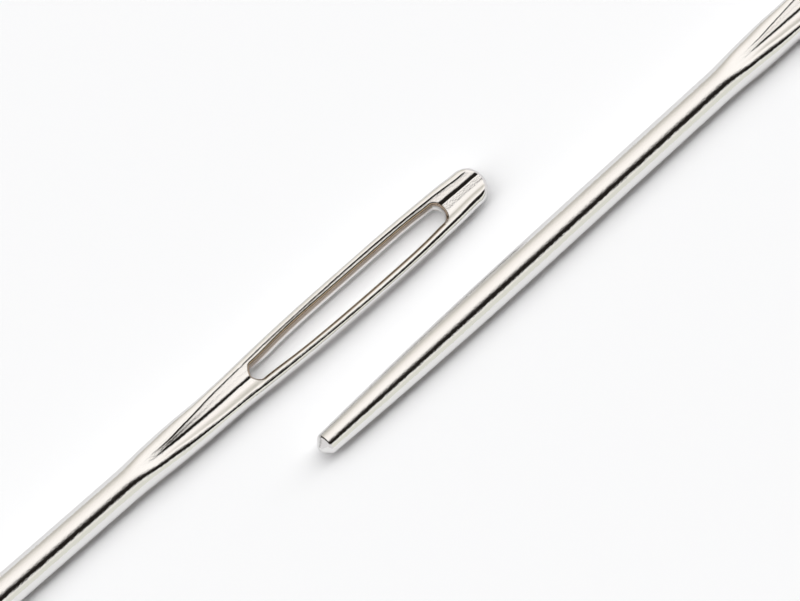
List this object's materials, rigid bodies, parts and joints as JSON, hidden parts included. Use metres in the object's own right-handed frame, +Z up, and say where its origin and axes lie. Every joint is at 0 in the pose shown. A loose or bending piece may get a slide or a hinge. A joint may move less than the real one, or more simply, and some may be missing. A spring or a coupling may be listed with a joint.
{
  "type": "yarn needle pair",
  "caption": "Yarn needles lying side by side: plated steel wire with a long stamped eye, a round shank and a tapered blunt tip.",
  "frame": {"origin": "middle of the pair's box, on the surface that both shanks lie on", "axes": "+X along the left needle from its tip to the end of its head, +Y from the right needle towards the left one, +Z up, out of the face of the eyes"},
  "size_m": [0.1186, 0.0094, 0.0023],
  "materials": {
    "plated_steel": "bright nickel plate, polished, with faint drawing marks along the wire"
  },
  "bodies": {
    "left_needle_body": {"left_needle": "plated_steel"},
    "right_needle_body": {"right_needle": "plated_steel"}
  },
  "joints": [
    {"name": "right_needle_draw", "type": "slide", "parent": "left_needle_body", "child": "right_needle_body", "axis": [0.9998, 0.0192, 0], "range_m": [0, 0.03]}
  ]
}
